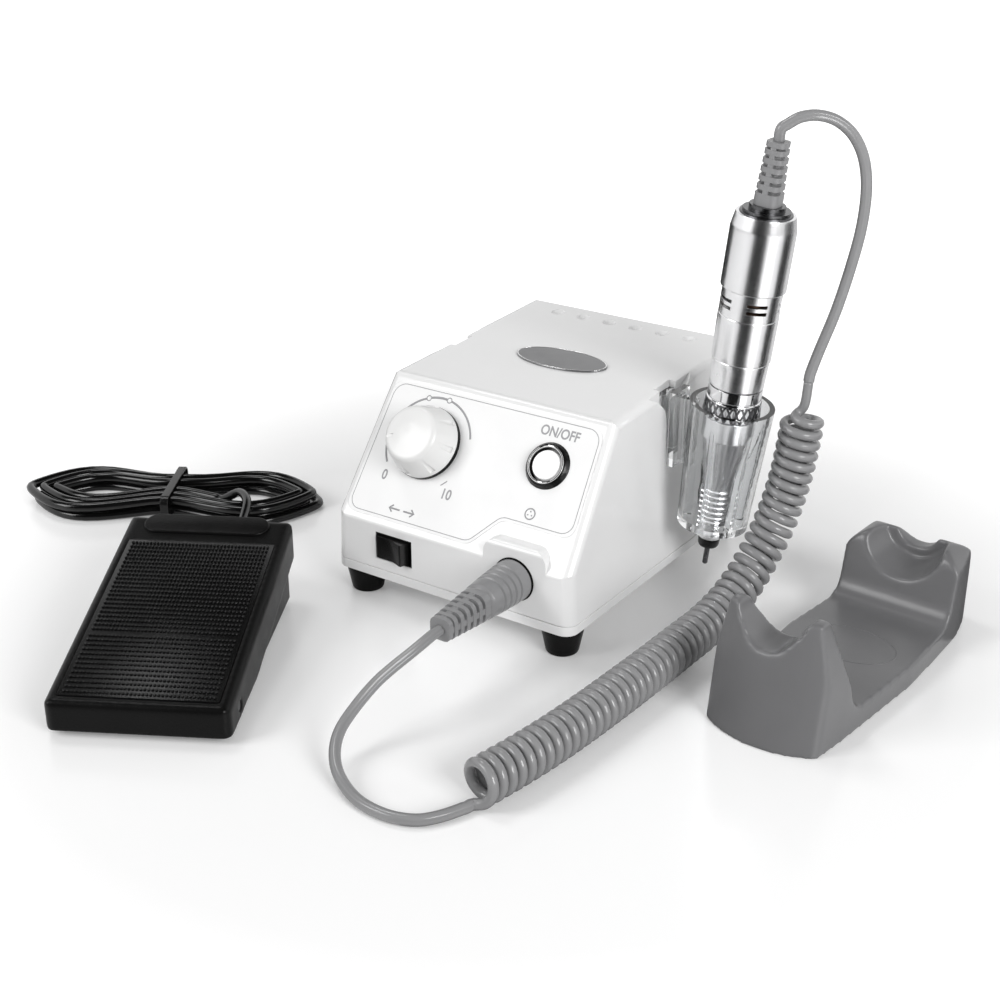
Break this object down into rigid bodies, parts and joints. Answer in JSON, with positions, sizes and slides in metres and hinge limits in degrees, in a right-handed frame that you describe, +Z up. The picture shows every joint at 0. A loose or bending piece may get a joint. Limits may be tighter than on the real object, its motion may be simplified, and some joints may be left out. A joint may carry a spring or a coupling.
{
  "type": "nail drill machine",
  "caption": "Electric nail drill: control box with sloped panel, pen handpiece in a clear side holder on a curly cord, foot pedal with bundled cord, and a bench rest.",
  "frame": {"origin": "on the table, at the middle of the set's footprint without its cords", "axes": "+X to the right seen from the front of the control box, +Y to its rear along the pedal socket, +Z up"},
  "size_m": [0.4391, 0.317, 0.218],
  "materials": {
    "white": "gloss white moulding",
    "panel_white": "satin white printed film",
    "black": "satin black moulding",
    "black_rubber": "black rubber",
    "grey_rubber": "mid grey cord rubber",
    "black_cord": "gloss black cord",
    "grey": "mid grey moulding",
    "steel": "brushed steel",
    "chrome": "bright plated",
    "clear": "clear moulding",
    "copper": "lacquered copper",
    "iron": "laminated iron",
    "board": "green board"
  },
  "bodies": {
    "console": {"housing": "white", "base_tray": "white", "rubber_feet": "black_rubber", "foot_screws": "steel", "panel_overlay": "panel_white", "badge": "grey", "bit_rack": "white", "pot_body": "iron", "panel_nuts": "steel", "button_bezel": "chrome", "button_switch": "black", "rocker_body": "black", "motor_socket": "grey", "transformer_core": "iron", "transformer_winding": "copper", "control_board": "board", "mains_inlet": "black", "fuse_holder": "black", "pedal_socket": "black", "plug_body": "grey_rubber", "plug_relief": "grey_rubber", "handpiece_lead": "grey_rubber", "handpiece_coil": "grey_rubber", "handpiece_tail": "grey_rubber"},
    "speed_knob": {"knob_cap": "white", "knob_base": "black", "pot_shaft": "steel"},
    "power_button": {"button_cap": "white"},
    "direction_rocker": {"rocker_paddle": "black"},
    "holder": {"holder_cup": "clear"},
    "handpiece": {"nose_tip": "black", "nose_cone": "steel", "grip_sleeve": "steel", "body_ring": "steel", "motor_case": "steel", "vent_ring": "steel", "rear_sleeve": "steel", "rear_cap": "black", "cord_boot": "grey_rubber", "bearings": "steel", "magnet_ring": "iron", "brush_holder": "grey"},
    "collar": {"lock_collar": "steel"},
    "drive": {"spindle": "steel", "drill_bit": "chrome", "rotor": "copper"},
    "pedal": {"pedal_base": "black", "pedal_pin": "steel", "pedal_spring": "steel", "pedal_switch": "grey", "pedal_feet": "black_rubber", "pedal_gland": "black_rubber", "pedal_lead": "black_cord", "pedal_hank": "black_cord", "cord_tie": "black", "pedal_plug": "black"},
    "treadle": {"pedal_treadle": "black", "tread_mat": "black_rubber"},
    "plunger": {"switch_plunger": "white"},
    "rest": {"handpiece_rest": "grey"}
  },
  "joints": [
    {"name": "speed_turn", "type": "hinge", "parent": "console", "child": "speed_knob", "pos_m": [-0.0517, 0.02251, 0.07066], "axis": [0, 0.809, -0.5878], "range_deg": [-26, 248]},
    {"name": "power_press", "type": "slide", "parent": "console", "child": "power_button", "axis": [0, 0.809, -0.5878], "range_m": [0, 0.0022], "stiffness_N_per_m": 600, "springref_m": -0.001},
    {"name": "direction_rock", "type": "hinge", "parent": "console", "child": "direction_rocker", "pos_m": [-0.054, 0.0035, 0.0282], "axis": [0, 0, 1], "range_deg": [0, 18]},
    {"name": "holder_lift", "type": "slide", "parent": "console", "child": "holder", "axis": [0, 0, 1], "range_m": [0, 0.034], "deforming": ["handpiece_coil", "handpiece_tail"]},
    {"name": "handpiece_lift", "type": "slide", "parent": "holder", "child": "handpiece", "axis": [0.1115, 0, 0.9938], "range_m": [0, 0.1], "deforming": ["handpiece_coil", "handpiece_tail"]},
    {"name": "collar_twist", "type": "hinge", "parent": "handpiece", "child": "collar", "pos_m": [0.0619, 0.086, 0.09516], "axis": [0.1115, 0, 0.9938], "range_deg": [0, 40]},
    {"name": "spindle_spin", "type": "hinge", "parent": "handpiece", "child": "drive", "pos_m": [0.05856, 0.086, 0.06535], "axis": [0.1115, 0, 0.9938], "continuous": true},
    {"name": "pedal_lift", "type": "slide", "parent": "console", "child": "pedal", "axis": [0, 0, 1], "range_m": [0, 0.1]},
    {"name": "treadle_press", "type": "hinge", "parent": "pedal", "child": "treadle", "pos_m": [-0.07677, -0.12788, 0.008], "axis": [0.8746, 0.4848, 0], "range_deg": [-4.5, 0], "stiffness_Nm_per_rad": 1.5, "springref_deg": 6.88, "deforming": ["pedal_spring"]},
    {"name": "plunger_slide", "type": "slide", "parent": "pedal", "child": "plunger", "axis": [0, 0, 1], "range_m": [-0.0038, 0]},
    {"name": "rest_lift", "type": "slide", "parent": "console", "child": "rest", "axis": [0, 0, 1], "range_m": [0, 0.1]}
  ],
  "couplings": [
    {"joint": "plunger_slide", "follows": "treadle_press", "m_per_rad": 0.045}
  ]
}
